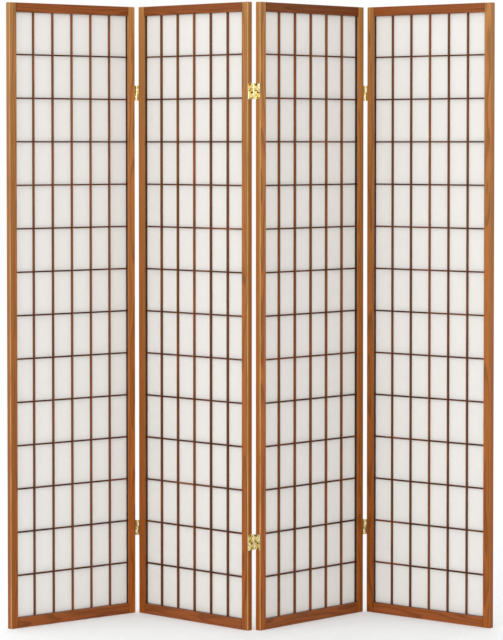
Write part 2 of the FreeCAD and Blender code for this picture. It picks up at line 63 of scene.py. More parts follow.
class PanelSpace:
    """The space of one panel, found from its pieces in the frame."""

    def __init__(self, number):
        self.number = number
        self.turn = self.find_turn()
        self.rotation = Matrix.Rotation(self.turn, 3, "Z")
        # measured from the frame's origin first, and from then on from the panel's own corner
        self.origin = Vector((0, 0, 0))
        low, high = self.piece_box("stile_left")[0], self.piece_box("stile_right")[1]
        self.origin = self.rotation @ Vector((low.x, low.y, 0))
        self.size = high - low

    def find_turn(self):
        """How far the panel is turned, from the four lowest corners of its paper."""
        corners = node_points(f"panel_{self.number}_paper")
        first = min(corners, key=lambda point: (round(point.z, 5), round(point.x, 5)))
        lowest = [point - first for point in corners if point.z < first.z + MILLIMETRE]
        diagonal = max(lowest, key=lambda step: step.length)
        apart = (step for step in lowest if step.length > MILLIMETRE / 10)
        thickness = min(apart, key=lambda step: step.length)
        edge = diagonal - thickness
        return math.atan2(edge.y, edge.x)

    def inside(self, point):
        """A point of the whole screen in the panel's own space."""
        return self.rotation.transposed() @ (point - self.origin)

    def box(self, node):
        """The lowest and highest corner of a node in the panel's own space."""
        points = [self.inside(point) for point in node_points(node)]
        low = Vector(map(min, *points))
        high = Vector(map(max, *points))
        return low, high

    def piece_box(self, piece):
        """The same for one of the panel's own pieces."""
        return self.box(f"panel_{self.number}_{piece}")


def node_points(node):
    """The corners of a node's mesh."""
    return [vertex.co.copy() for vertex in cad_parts[node].data.vertices]


spaces = {number: PanelSpace(number) for number in PANELS}
first_space = spaces[PANELS[0]]

PANEL_WIDTH, PANEL_THICKNESS, PANEL_HEIGHT = first_space.size
STILE_WIDTH = first_space.piece_box("stile_left")[1].x
BOTTOM_RAIL = first_space.piece_box("rail_bottom")[1].z
TOP_RAIL = PANEL_HEIGHT - first_space.piece_box("rail_top")[0].z
LATTICE_LOW, LATTICE_HIGH = first_space.piece_box("lattice_border")
PAPER_LOW, PAPER_HIGH = first_space.piece_box("paper")


# ---- sizes and colours that a user would change --------------------------------------------

def colour(name, description, default):
    """A colour property, in linear red, green and blue."""
    return bpy.props.FloatVectorProperty(
        name=name, description=description, default=default, subtype="COLOR", size=3, min=0, max=1
    )


def length(name, description, default):
    """A length property."""
    return bpy.props.FloatProperty(
        name=name, description=description, default=default, min=0, unit="LENGTH", precision=5
    )


def share(name, description, default):
    """A number from 0 to 1."""
    return bpy.props.FloatProperty(
        name=name, description=description, default=default, min=0, max=1, subtype="FACTOR"
    )


class ScreenWoodSettings(bpy.types.PropertyGroup):
    """Stain and grain of the wooden pieces."""

    # the stiles lighten towards the top: partly stain, partly painted sheen and light falloff from
    # above
    stile_top_stain_and_sheen: colour("Stile, high", "Stain of the stiles at their top", (0.505, 0.222, 0.066))
    stile_floor_stain_and_shade: colour("Stile, low", "Stain of the stiles at the floor", (0.378, 0.100, 0.0125))
    rail_stain: colour("Rails", "Stain of the rails", (0.251, 0.067, 0.0135))
    red_stain: colour("Red parts", "Stain where the wood took more of it", (0.36, 0.085, 0.017))
    upright_stain: colour("Uprights", "Stain of the upright lattice strips", (0.220, 0.076, 0.021))
    cross_stain: colour("Crosses", "Stain of the cross lattice strips", (0.088, 0.025, 0.0055))
    border_stain: colour("Border", "Stain of the strips round the lattice", (0.052, 0.018, 0.008))
    # the outer edges turn to this lighter colour: worn stain, and a painted highlight on the rounded
    # arris
    bare_and_highlight: colour("Bare wood", "Colour where the stain is rubbed thin", (0.70, 0.43, 0.18))
    board_spread: share("Board spread", "How much boards differ from each other", 0.26)
    stile_seed: bpy.props.IntProperty(name="Stiles' seed", description="Which boards", default=1028)
    rail_seed: bpy.props.IntProperty(name="Rails' seed", description="Which boards", default=3778)
    ring_width: length("Ring width", "Distance between two growth rings", 0.0024)
    ring_shade: share("Ring shade", "How much darker the late wood is", 0.34)
    streak_shade: share("Streaks", "How strong the fine streaks along the grain are", 0.16)
    rough: share("Roughness", "Roughness of the satin lacquer", 0.42)


class ScreenLatticeSettings(bpy.types.PropertyGroup):
    """Counts and edges of the lattice."""

    columns: bpy.props.IntProperty(name="Columns", description="Windows across", default=6, min=2)
    rows: bpy.props.IntProperty(name="Rows", description="Windows up", default=14, min=2)
    lap_gap: length("Lap gap", "Clearance of the half laps where strips cross", 0.0001)
    easing: length("Easing", "Rounding of the strips' edges", 0.00035)


class ScreenPaperSettings(bpy.types.PropertyGroup):
    """Colour and surface of the paper."""

    tint: colour("Paper", "Colour of the paper", (0.90, 0.885, 0.862))
    fibre_shade: share("Fibres", "How much the fibres show", 0.05)
    # the glue lines also stand for the strips' painted shadow, seen through the paper from behind
    glue_and_shadow_shade: share("Glue lines", "How much the glued strips darken the paper's back", 0.16)
    glue_and_shadow_tint: colour("Glue", "Colour of the glue lines", (0.42, 0.36, 0.29))
    cockle: length("Cockle", "How far the paper waves inside a window", 0.00022)
    shine_through: share("Translucency", "Share of light that passes the paper", 0.50)


class ScreenBrassSettings(bpy.types.PropertyGroup):
    """Finish of the hinges."""

    bright: colour("Brass", "Colour of the brass", (0.95, 0.82, 0.46))
    # this colour also paints the dark reflections in patches on the brass
    tarnish_and_reflection_tint: colour("Tarnish", "Colour of its tarnish", (0.22, 0.15, 0.04))
    # the screws are darker partly from tarnished plating and partly as a painted dark reflection in
    # their recessed heads
    screw_tint_and_dark_reflection: colour("Screws", "Colour of the darker screws", (0.11, 0.080, 0.016))
    rough: share("Roughness", "Roughness of the brass", 0.22)


class ScreenStageSettings(bpy.types.PropertyGroup):
    """Floor, lights and camera."""

    floor_tint: colour("Floor", "Colour of the floor", (0.945, 0.965, 0.975))
    air: bpy.props.FloatProperty(
        name="Surroundings", description="Brightness of the white surroundings", default=1.17, min=0
    )
    dim_side: share("Dim side", "Brightness of the surroundings on the right, in front", 0.66)
    floor_end: length("Floor's end", "Distance at which the floor has turned white", 3.2)
    key_power: bpy.props.FloatProperty(
        name="Key light",
        description="Power of the light from the left",
        default=42,
        min=0,
        unit="POWER",
    )
    lens: bpy.props.FloatProperty(
        name="Lens", description="Focal length for a 36 mm frame", default=153.605, min=1, unit="CAMERA"
    )
    eye_x: length("Eye, across", "The camera's place across the screen", 0.0024)
    eye_y: length("Eye, back", "How far the camera stands in front of the screen's middle", 7.9119)
    eye_z: length("Eye, up", "The camera's height", 1.3831)
    rise: bpy.props.FloatProperty(
        name="Shift", description="How far the lens is shifted up, in image heights", default=-0.12364
    )
    tilt: bpy.props.FloatProperty(
        name="Tilt",
        description="How far the camera looks down",
        default=math.radians(2),
        unit="ROTATION",
    )


SETTINGS = {
    "screen_wood": ScreenWoodSettings,
    "screen_lattice": ScreenLatticeSettings,
    "screen_paper": ScreenPaperSettings,
    "screen_brass": ScreenBrassSettings,
    "screen_stage": ScreenStageSettings,
}


# ---- node trees ----------------------------------------------------------------------------

class Field:
    """A number that a node gives, used in Python arithmetic."""

    def __init__(self, tree, socket):
        self.tree = tree
        self.socket = socket

    def maths(self, operation, *values):
        return self.tree.add("ShaderNodeMath", {"operation": operation}, dict(enumerate(values)))

    def __add__(self, other):
        return self.maths("ADD", self, other)

    __radd__ = __add__

    def __sub__(self, other):
        return self.maths("SUBTRACT", self, other)

    def __rsub__(self, other):
        return self.maths("SUBTRACT", other, self)

    def __mul__(self, other):
        return self.maths("MULTIPLY", self, other)

    __rmul__ = __mul__

    def __truediv__(self, other):
        return self.maths("DIVIDE", self, other)

    def __rtruediv__(self, other):
        return self.maths("DIVIDE", other, self)

    def __pow__(self, other):
        return self.maths("POWER", self, other)

    def __abs__(self):
        return self.maths("ABSOLUTE", self)

    def __gt__(self, other):
        return self.maths("GREATER_THAN", self, other)

    def __lt__(self, other):
        return self.maths("LESS_THAN", self, other)

    def floor(self):
        return self.maths("FLOOR", self)

    def fraction(self):
        return self.maths("FRACT", self)

    def sine(self):
        return self.maths("SINE", self)

    def most(self, other):
        return self.maths("MAXIMUM", self, other)

    def step(self, low, high, start=0.0, end=1.0):
        """A smooth step from start to end as the number goes from low to high."""
        sockets = {"Value": self, "From Min": low, "From Max": high, "To Min": start, "To Max": end}
        return self.tree.add("ShaderNodeMapRange", {"interpolation_type": "SMOOTHSTEP"}, sockets)


class Tree:
    """Builds the node tree of a material, the world or a geometry group."""

    def __init__(self, node_tree):
        self.node_tree = node_tree
        node_tree.nodes.clear()

    def add(self, kind, settings=None, sockets=None, output=0):
        """One node: its settings first, then values or links of its sockets. Gives its outputs."""
        made = self.node_tree.nodes.new(kind)
        for name, value in (settings or {}).items():
            setattr(made, name, value)
        for name, value in (sockets or {}).items():
            for single in value if isinstance(value, list) else [value]:
                if isinstance(single, Field):
                    self.node_tree.links.new(single.socket, made.inputs[name])
                else:
                    made.inputs[name].default_value = single
        if isinstance(output, tuple):
            return tuple(Field(self, made.outputs[name]) for name in output)
        return Field(self, made.outputs[output]) if made.outputs else None

    def split(self, vector):
        return self.add("ShaderNodeSeparateXYZ", {}, {0: vector}, output=("X", "Y", "Z"))

    def join(self, x=0.0, y=0.0, z=0.0):
        return self.add("ShaderNodeCombineXYZ", {}, {0: x, 1: y, 2: z})


class Shade(Tree):
    """A material's node tree."""

    def __init__(self, name):
        self.material = bpy.data.materials.new(name)
        self.material.use_nodes = True
        super().__init__(self.material.node_tree)

    def space(self, panel=None):
        """Places on the piece, in a panel's own space where one is given."""
        place = self.add("ShaderNodeTexCoord", output="Object")
        if panel is None:
            return place
        sockets = {"Vector": place, "Location": panel.origin, "Rotation": (0, 0, panel.turn)}
        return self.add("ShaderNodeMapping", {"vector_type": "TEXTURE"}, sockets)

    def noise(self, vector, scale, detail=2.0, roughness=0.5):
        sockets = {"Vector": vector, "Scale": scale, "Detail": detail, "Roughness": roughness}
        return self.add("ShaderNodeTexNoise", {}, sockets)

    def chance(self, number):
        """A random number from 0 to 1, its own for each value of the number."""
        return self.add("ShaderNodeTexWhiteNoise", {"noise_dimensions": "1D"}, {"W": number})

    def blend(self, factor, one, other):
        """One colour mixed with another."""
        sockets = {0: factor, 6: self.opaque(one), 7: self.opaque(other)}
        return self.add("ShaderNodeMix", {"data_type": "RGBA"}, sockets, output=2)

    def scaled(self, tint, number):
        """A colour times a number."""
        sockets = {0: tint if isinstance(tint, Field) else tuple(tint), "Scale": number}
        return self.add("ShaderNodeVectorMath", {"operation": "SCALE"}, sockets)

    @staticmethod
    def opaque(tint):
        return tint if isinstance(tint, Field) else (*tint, 1)

    def bump(self, height, distance, strength=1.0):
        sockets = {"Height": height, "Distance": distance, "Strength": strength}
        return self.add("ShaderNodeBump", {}, sockets)

    def surface(self, **sockets):
        """The main shader, its socket names written with _ for a space."""
        named = {name.replace("_", " "): value for name, value in sockets.items()}
        for name, value in named.items():
            if name.endswith("Color") and not isinstance(value, Field):
                named[name] = self.opaque(value)
        return self.add("ShaderNodeBsdfPrincipled", {}, named)

    def finish(self, shader):
        self.add("ShaderNodeOutputMaterial", {}, {"Surface": shader})
        return self.material


# ---- the materials -------------------------------------------------------------------------

# the middle of the first of two boards, and the step to the second
STILES = (STILE_WIDTH / 2, PANEL_WIDTH - STILE_WIDTH)
RAILS = (BOTTOM_RAIL / 2, PANEL_HEIGHT - TOP_RAIL / 2 - BOTTOM_RAIL / 2)

# which boards the pieces are cut from that have no seed of their own
BEAD_BOARDS = 8
STRIP_BOARDS = {"upright": 12, "cross": 16}
BORDER_BOARDS = 20

# how far apart the boards of two pieces are numbered, and the log that they are cut from
BOARD_STEP = 17.25
LOG_LENGTH = 60

# the pith's least distance behind the face, how much that varies, and how far it lies sideways
PITH_NEAR = 0.030
PITH_RANGE = 0.06
PITH_SPREAD = 0.05

# how far the growth rings wander along the grain
RING_WANDER = 0.030

# shares by which each part of the grain changes the tone
DRIFT_SHADE = 0.30
BAND_SHADE = 0.55
PORE_SHADE = 0.22
# how much the painted shadow in the joints between rails and stiles darkens the tone
SEAM_SHADOW = 0.8
RED_SHARE = 0.55

# narrow lines in the finish, the worn edges with their painted highlight and the painted shadow in the
# joints: all there within the first distance, gone past the second
WORN_AND_LIT_EDGE = (0.0014, 0.0034)
SEAM_SHADOW_LINE = (0.0005, 0.0020)
# how far the glue lines, with the strips' painted shadow, blur on the paper
GLUE_AND_SHADOW_BLUR = 0.0004

# the strips' colour at the floor, as shares of their colour at the top: they turn darker towards the
# floor
STRIP_FADE = (0.78, 0.66, 0.55)
STRIP_RINGS = 0.6


class Board:
    """Where each point of a wooden piece lies in the board that it was cut from.

    The grain is upright, cross or, round the opening, both. The boards are the middle of the
    first one and the step to the next, so that each is cut from another part of the tree.
    """

    def __init__(self, shade, panel, grain, number, boards):
        x, y, z = shade.split(shade.space(panel))
        half_width = PANEL_WIDTH / 2
        self.shade, self.depth, self.height = shade, y, z
        self.from_side = half_width - abs(x - half_width)
        if grain == "upright":
            self.along, self.across, (first, step) = z, x, boards or STILES
        elif grain == "cross":
            self.along, self.across, (first, step) = x, z, boards or RAILS
        else:
            at_side = self.from_side < STILE_WIDTH
            self.along = x + (z - x) * at_side
            self.across = z + (x - z) * at_side
            first = RAILS[0] + (STILES[0] - RAILS[0]) * at_side
            step = RAILS[1] + (STILES[1] - RAILS[1]) * at_side
        place = ((self.across - first) / step + 0.5).floor()
        self.off_middle = self.across - (place * step + first)
        # each board has three chances of its own: its tone, its part of the log and how far its edges
        # are worn and given a painted highlight
        board = place + number * BOARD_STEP
        self.tone = shade.chance(board)
        self.part = shade.chance(board + 0.375)
        self.wear_and_glint = shade.chance(board + 0.125)
        self.cut = self.part * LOG_LENGTH

    def noise(self, across, along, part, detail=3.0, roughness=0.6):
        """Noise drawn out along the grain, fine across it, from its own part of the log."""
        far = self.along * along + self.cut * part
        place = self.shade.join(self.across * across, self.depth * across, far)
        return self.shade.noise(place, 1.0, detail, roughness)

    def late_wood(self, ring_width):
        """The dark side of the growth rings, which wander a little about a pith off the board."""
        wander = self.noise(9, 1.1, 1, roughness=0.55)
        sideways = self.off_middle + (self.part - 0.5) * PITH_SPREAD
        behind = self.depth + (PITH_NEAR + self.tone * PITH_RANGE)
        radius = (sideways ** 2 + behind ** 2) ** 0.5
        rings = ((radius + wander * RING_WANDER) / ring_width).fraction()
        return rings.step(0.35, 0.88) * rings.step(0.90, 1.0, 1.0, 0.0)

    def worn_and_lit_edges(self, drift):
        """How far the stain is rubbed off the outer edges and a painted highlight laid on them, more on
        some boards than on others.
        """
        from_face = PANEL_THICKNESS / 2 - abs(self.depth - PANEL_THICKNESS / 2)
        from_edge = (self.from_side ** 2 + from_face ** 2) ** 0.5
        worn_and_lit_share = self.wear_and_glint.step(0.1, 0.6, 0.1, 0.75)
        # the rubbed share is partly worn stain and partly a painted highlight
        rubbed = from_edge.step(*WORN_AND_LIT_EDGE, 1.0, 0.0) * drift.step(0.30, 0.62, 0.45, 1.0)
        return rubbed * worn_and_lit_share


def wood(name, panel, grain, stain, number, boards=None, ring_scale=1.0, joints=False):
    """Stained wood in a panel's own space.

    The stain is a pair of colours, for the panel's top and for the floor. Where they differ, the
    lighter top is partly stain and partly painted sheen and light falloff from above.
    """
    look = bpy.context.scene.screen_wood
    shade = Shade(name)
    board = Board(shade, panel, grain, number, boards)
    late = board.late_wood(look.ring_width * ring_scale)
    streak = board.noise(1500, 22, 7)
    pore = board.noise(2600, 160, 9, detail=1.0, roughness=0.5).step(0.63, 0.74)
    band = board.noise(190, 4.5, 5)
    drift = board.noise(14, 5.0, 3)

    # lighter towards the panel's top: partly stain, partly painted sheen and light falloff from above
    high = (board.height / PANEL_HEIGHT).most(0.0) ** 1.3
    tint = shade.blend(high, stain[1], stain[0])
    if stain[0] != stain[1]:
        tint = shade.blend(drift.step(0.50, 0.78) * RED_SHARE, tint, look.red_stain)
    # lighter outer edges: worn stain and a painted highlight
    tint = shade.blend(board.worn_and_lit_edges(drift), tint, look.bare_and_highlight)

    tone = 1.0 + (board.tone - 0.5) * look.board_spread * 2
    tone = tone + (drift - 0.5) * DRIFT_SHADE + (band - 0.5) * BAND_SHADE
    tone = tone * (1 - late * look.ring_shade) * (1 + (streak - 0.5) * look.streak_shade * 2)
    tone = tone * (1 - pore * PORE_SHADE)
    # a painted shadow line in the joint where each rail meets a stile
    if joints:
        seam_shadow = abs(board.from_side - STILE_WIDTH).step(*SEAM_SHADOW_LINE, 1.0, 0.0)
        tone = tone * (1 - seam_shadow * SEAM_SHADOW)

    relief = late * -0.5 + streak * 0.35 - pore * 0.6
    shader = shade.surface(
        Base_Color=shade.scaled(tint, tone),
        Roughness=look.rough + (streak - 0.5) * 0.16 + pore * 0.12,
        Specular_IOR_Level=0.16,
        Coat_Weight=0.03,
        Coat_Roughness=0.22,
        Normal=shade.bump(relief, 0.00006, 0.55),
    )
    return shade.finish(shader)


def glue_and_shadow_lines(place, middle, pitch, width):
    """The glue lines behind a row of strips, which also stand for the strips' painted shadow, from one
    strip's middle, their pitch and their width.
    """
    apart = 0.5 - abs(((place - middle) / pitch).fraction() - 0.5)
    return (apart * pitch).step(width / 2 - GLUE_AND_SHADOW_BLUR, width / 2 + GLUE_AND_SHADOW_BLUR, 1.0, 0.0)


def paper_material():
    """White paper: soft fibres, and faint lines on it where the lattice is glued to its front, which
    also paint the strips' shadow seen through the paper.
    """
    look = bpy.context.scene.screen_paper
    shade = Shade("paper")
    place = shade.add("ShaderNodeAttribute", {"attribute_name": "panel_place"}, output="Vector")
    x, y, z = shade.split(place)
    upright, upright_size, upright_step = first_strip("upright")
    cross, cross_size, cross_step = first_strip("cross")
    beside = glue_and_shadow_lines(x, upright.x, upright_step.x, upright_size.x)
    # glued marks both the glue under the strips and their painted shadow
    glued = beside.most(glue_and_shadow_lines(z, cross.z, cross_step.z, cross_size.z))

    # fibres lie every way: three sheets of long thin noise, each turned
    fibres = None
    for angle, size in ((0.3, 420), (1.35, 520), (2.45, 470)):
        cos, sin = math.cos(angle), math.sin(angle)
        u, v = x * cos + z * sin, z * cos - x * sin
        bent = shade.noise(shade.join(u * 60, v * 60, angle), 1.0, 2.0)
        strand = shade.noise(shade.join(u * size * 0.09, v * size + bent * 3, angle), 1.0, 2.0)
        strand = strand.step(0.60, 0.72)
        fibres = strand if fibres is None else fibres.most(strand)
    cloud = shade.noise(shade.join(x * 55, y * 55, z * 55), 1.0, 4.0, 0.6)
    tone = 1 + (cloud - 0.5) * look.fibre_shade + fibres * look.fibre_shade * 0.3
    tint = shade.blend(glued * look.glue_and_shadow_shade, shade.scaled(look.tint, tone), look.glue_and_shadow_tint)
    relief = fibres * 0.6 + cloud * 0.5
    normal = shade.bump(relief, 0.00007, 0.5)
    face = shade.surface(
        Base_Color=tint, Roughness=0.86 - fibres * 0.12, Specular_IOR_Level=0.25, Normal=normal
    )
    behind = {"Color": shade.opaque(look.tint), "Normal": normal}
    through = shade.add("ShaderNodeBsdfTranslucent", {}, behind)
    mixed = shade.add("ShaderNodeMixShader", {}, {0: look.shine_through, 1: face, 2: through})
    return shade.finish(mixed)


def brass(name, tint, spots_and_reflections):
    """Plated brass, faintly brushed, tarnished in small specks and soft clouds, with painted dark
    reflections in patches.
    """
    look = bpy.context.scene.screen_brass
    shade = Shade(name)
    place = shade.space()
    x, y, z = shade.split(place)
    cloud = shade.noise(place, 90.0, 4.0, 0.65)
    spot = shade.noise(place, 620.0, 2.0, 0.5).step(0.60, 0.74) * spots_and_reflections
    brushed = shade.noise(shade.join(x * 900, y * 900, z * 9000), 1.0, 2.0)
    # the dark patches are painted reflections of dark surroundings
    dark_reflection_patch = shade.noise(place, 210.0, 2.0, 0.5).step(0.50, 0.58) * spots_and_reflections
    aged_and_reflected = (spot * 0.75).most(dark_reflection_patch * 0.5) + (1 - cloud) * 0.18
    brass_tarnish_and_reflection = shade.blend(aged_and_reflected, tint, look.tarnish_and_reflection_tint)
    shader = shade.surface(
        Base_Color=brass_tarnish_and_reflection,
        Metallic=1.0,
        Roughness=look.rough + spot * 0.3 + (brushed - 0.5) * 0.12 + cloud * 0.06,
        Normal=shade.bump(brushed * 0.6 + cloud * 0.4, 0.00002, 0.4),
    )
    return shade.finish(shader)


def floor_material():
    """A pale matt floor, very faintly mottled, which glows a little even beside the screen, a painted
    light that lifts its shadows, and turns into the white surroundings far off.
    """
    look = bpy.context.scene.screen_stage
    shade = Shade("floor")
    place = shade.space()
    x, y, _ = shade.split(place)
    cloud = shade.noise(place, 3.0, 4.0, 0.6)
    tint = shade.scaled(look.floor_tint, 1 + (cloud - 0.5) * 0.02)
    grit = shade.noise(place, 400.0, 2.0)
    normal = shade.bump(grit, 0.0001, 0.15)
    face = shade.surface(Base_Color=tint, Roughness=0.7, Specular_IOR_Level=0.2, Normal=normal)
    white = shade.add("ShaderNodeEmission", {}, {"Color": (1, 1, 1, 1), "Strength": 1.0})
    # painted glow: 14 per cent emission beside the screen lifts the floor's shadows, rising to full
    # white far off
    far = ((x ** 2 + y ** 2) ** 0.5).step(look.floor_end * 0.2, look.floor_end, 0.14, 1.0)
    mixed = shade.add("ShaderNodeMixShader", {}, {0: far, 1: face, 2: white})
    return shade.finish(mixed)


def give(node, material):
    """Give a node of the frame its finish."""
    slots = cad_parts[node].data.materials
    slots.clear()
    slots.append(material)


# ---- geometry trees ------------------------------------------------------------------------

CUT = {"operation": "DIFFERENCE", "solver": "EXACT"}

# into how many parts the paper of one window is cut, across and up
WINDOW_CUTS = {"Columns": 9, "Rows": 12}

# the share of a screw's length that tapers to its tip
POINT_SHARE = 0.25


class Growth(Tree):
    """A geometry tree with named inputs."""

    def __init__(self, name, inputs):
        group = bpy.data.node_groups.new(name, "GeometryNodeTree")
        super().__init__(group)
        self.group = group
        face = group.interface
        face.new_socket("Geometry", in_out="INPUT", socket_type="NodeSocketGeometry")
        for label, kind in inputs.items():
            face.new_socket(label, in_out="INPUT", socket_type=kind)
        face.new_socket("Geometry", in_out="OUTPUT", socket_type="NodeSocketGeometry")
        names = ("Geometry", *inputs)
        given = self.add("NodeGroupInput", output=names)
        self.given = dict(zip(names, given))

    def row(self, start, step, count, size):
        """Boxes of one size in a row, from the first one's middle."""
        places = {"Count": count, "Start Location": start, "Offset": step}
        line = self.add("GeometryNodeMeshLine", {"mode": "OFFSET"}, places)
        cube = self.add("GeometryNodeMeshCube", {}, {"Size": size})
        return self.add("GeometryNodeInstanceOnPoints", {}, {"Points": line, "Instance": cube})

    def place(self, geometry):
        """Put the piece in its panel's place."""
        moves = {"Translation": self.given["Place"], "Rotation": self.join(z=self.given["Turn"])}
        return self.add("GeometryNodeTransform", {}, {"Geometry": geometry, **moves})

    def finish(self, geometry):
        """Make the piece real and give it its material."""
        real = self.add("GeometryNodeRealizeInstances", {}, {0: geometry})
        finish = {"Geometry": real, "Material": self.given["Material"]}
        made = self.add("GeometryNodeSetMaterial", {}, finish)
        self.add("NodeGroupOutput", {}, {"Geometry": made})
        return self.group


def strips_tree():
    """A row of lattice strips, notched for the strips that they cross."""
    vector, count = "NodeSocketVector", "NodeSocketInt"
    inputs = {"First": vector, "Step": vector, "Count": count, "Size": vector}
    inputs |= {"Lap First": vector, "Lap Step": vector, "Lap Count": count, "Lap Size": vector}
    inputs |= {"Place": vector, "Turn": "NodeSocketFloat", "Material": "NodeSocketMaterial"}
    tree = Growth("lattice_strips", inputs)
    given = tree.given
    strips = tree.row(given["First"], given["Step"], given["Count"], given["Size"])
    laps = tree.row(given["Lap First"], given["Lap Step"], given["Lap Count"], given["Lap Size"])
    solid = tree.add("GeometryNodeRealizeInstances", {}, {0: strips})
    tools = tree.add("GeometryNodeRealizeInstances", {}, {0: laps})
    notched = tree.add("GeometryNodeMeshBoolean", CUT, {0: solid, 1: tools})
    return tree.finish(tree.place(notched))


def paper_tree():
    """A sheet of paper, flat along the strips and cockled a little inside each window."""
    vector, number = "NodeSocketVector", "NodeSocketFloat"
    inputs = {"Corner": vector, "Size": vector, "First Strip": vector, "Window": vector}
    inputs |= {"Columns": "NodeSocketInt", "Rows": "NodeSocketInt", "Cockle": number, "Seed": number}
    inputs |= {"Place": vector, "Turn": number, "Material": "NodeSocketMaterial"}
    tree = Growth("paper_sheet", inputs)
    given = tree.given
    across, up = (given[name] * cuts + 1 for name, cuts in WINDOW_CUTS.items())
    cuts = {"Size": given["Size"], "Vertices X": across, "Vertices Y": 2, "Vertices Z": up}
    block = tree.add("GeometryNodeMeshCube", {}, cuts)
    half = tree.add("ShaderNodeVectorMath", {"operation": "SCALE"}, {0: given["Size"], "Scale": 0.5})
    middle = tree.add("ShaderNodeVectorMath", {"operation": "ADD"}, {0: given["Corner"], 1: half})
    sheet = tree.add("GeometryNodeTransform", {}, {"Geometry": block, "Translation": middle})
    position = tree.add("GeometryNodeInputPosition")
    x, _, z = tree.split(position)
    first_x, _, first_z = tree.split(given["First Strip"])
    window_x, _, window_z = tree.split(given["Window"])
    slack = abs(((x - first_x) / window_x * math.pi).sine())
    slack = slack * abs(((z - first_z) / window_z * math.pi).sine())
    wave_place = tree.join(x * 26, given["Seed"], z * 9)
    wave = tree.add("ShaderNodeTexNoise", {}, {"Vector": wave_place, "Scale": 1.0, "Detail": 1.5})
    push = (wave - 0.5) * (slack ** 1.5) * given["Cockle"] * 4
    moved = {"Geometry": sheet, "Offset": tree.join(y=push)}
    cockled = tree.add("GeometryNodeSetPosition", {}, moved)
    noted = tree.add(
        "GeometryNodeStoreNamedAttribute",
        {"data_type": "FLOAT_VECTOR", "domain": "POINT"},
        {"Geometry": cockled, "Name": "panel_place", "Value": position},
    )
    return tree.finish(tree.place(noted))


def screws_tree():
    """Countersunk screws with a cross recess, one on each point, turned as each was driven."""
    vector, number = "NodeSocketVector", "NodeSocketFloat"
    inputs = {"Head Radius": number, "Shank Radius": number, "Tip Radius": number, "Length": number}
    inputs |= {"Recess Span": number, "Recess Width": number, "Recess Depth": number}
    inputs |= {"Outward": vector, "Seed": "NodeSocketInt", "Material": "NodeSocketMaterial"}
    tree = Growth("screws", inputs)
    given = tree.given
    head, shank, tip = given["Head Radius"], given["Shank Radius"], given["Tip Radius"]

    # four rings of a plain cylinder become the tip, the point's start, the neck and the rim
    rings = {"Vertices": 24, "Side Segments": 3, "Radius": 1.0, "Depth": 3.0}
    blank = tree.add("GeometryNodeMeshCylinder", {"fill_type": "NGON"}, rings, output="Mesh")
    position = tree.add("GeometryNodeInputPosition")
    x, y, z = tree.split(position)
    past_tip, past_point, past_neck = z > -1.0, z > 0.0, z > 1.0
    radius = tip + (shank - tip) * past_tip + (head - shank) * past_neck
    long, point, sink = given["Length"], given["Length"] * POINT_SHARE, head - shank
    rise = point * past_tip + (long - point - sink) * past_point + sink * past_neck
    turned = tree.join(x * radius, y * radius, rise - long)
    solid = tree.add("GeometryNodeSetPosition", {}, {"Geometry": blank, "Position": turned})

    span, width, depth = given["Recess Span"], given["Recess Width"], given["Recess Depth"] * 2
    tools = []
    for across, along, deep in ((span, width, depth), (width, span, depth * 0.97)):
        tools.append(tree.add("GeometryNodeMeshCube", {}, {"Size": tree.join(across, along, deep)}))
    driven = tree.add("GeometryNodeMeshBoolean", CUT, {0: solid, 1: tools})

    aim = {"Vector": given["Outward"]}
    facing = tree.add("FunctionNodeAlignRotationToVector", {"axis": "Z"}, aim)
    range_of_turns = {2: 0.0, 3: math.tau, "Seed": given["Seed"]}
    spin = tree.add("FunctionNodeRandomValue", {"data_type": "FLOAT"}, range_of_turns, output=1)
    twist = tree.add("FunctionNodeAxisAngleToRotation", {}, {"Axis": (0, 0, 1), "Angle": spin})
    both = {"Rotation": facing, "Rotate By": twist}
    turn = tree.add("FunctionNodeRotateRotation", {"rotation_space": "LOCAL"}, both)
    heads = {"Points": given["Geometry"], "Instance": driven, "Rotation": turn}
    return tree.finish(tree.add("GeometryNodeInstanceOnPoints", {}, heads))


def grown(name, tree, inputs, points=(), easing=0.0):
    """Grow a piece with a geometry tree and keep the result as a plain mesh."""
    seed_mesh = bpy.data.meshes.new(f"{name}_points")
    seed_mesh.from_pydata([tuple(point) for point in points], [], [])
    source = bpy.data.objects.new(f"{name}_source", seed_mesh)
    bpy.context.scene.collection.objects.link(source)
    growth = source.modifiers.new("growth", "NODES")
    growth.node_group = tree
    for item in tree.interface.items_tree:
        if item.in_out == "INPUT" and item.name in inputs:
            value = inputs[item.name]
            growth[item.identifier] = tuple(value) if isinstance(value, Vector) else value
    if easing:
        bevel = source.modifiers.new("easing", "BEVEL")
        bevel.width = easing
        bevel.segments = 2
        bevel.limit_method = "ANGLE"
        bevel.harden_normals = True
    graph = bpy.context.evaluated_depsgraph_get()
    mesh = bpy.data.meshes.new_from_object(source.evaluated_get(graph))
    mesh.name = name
    bpy.data.objects.remove(source)
    piece = bpy.data.objects.new(name, mesh)
    bpy.context.scene.collection.objects.link(piece)
    return piece


def stand_for(piece, body, node):
    """The piece rides on a body and stands for a node."""
    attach(piece, body)
    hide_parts(node)


# ---- the lattice's places ------------------------------------------------------------------

# the axis along which the strips of a kind repeat, and the piece of the frame that holds them
STRIP_ROWS = {"upright": (0, "lattice_uprights"), "cross": (2, "lattice_crosses")}


def windows(kind):
    """How many windows there are along a row of strips."""
    counts = bpy.context.scene.screen_lattice
    return {"upright": counts.columns, "cross": counts.rows}[kind]


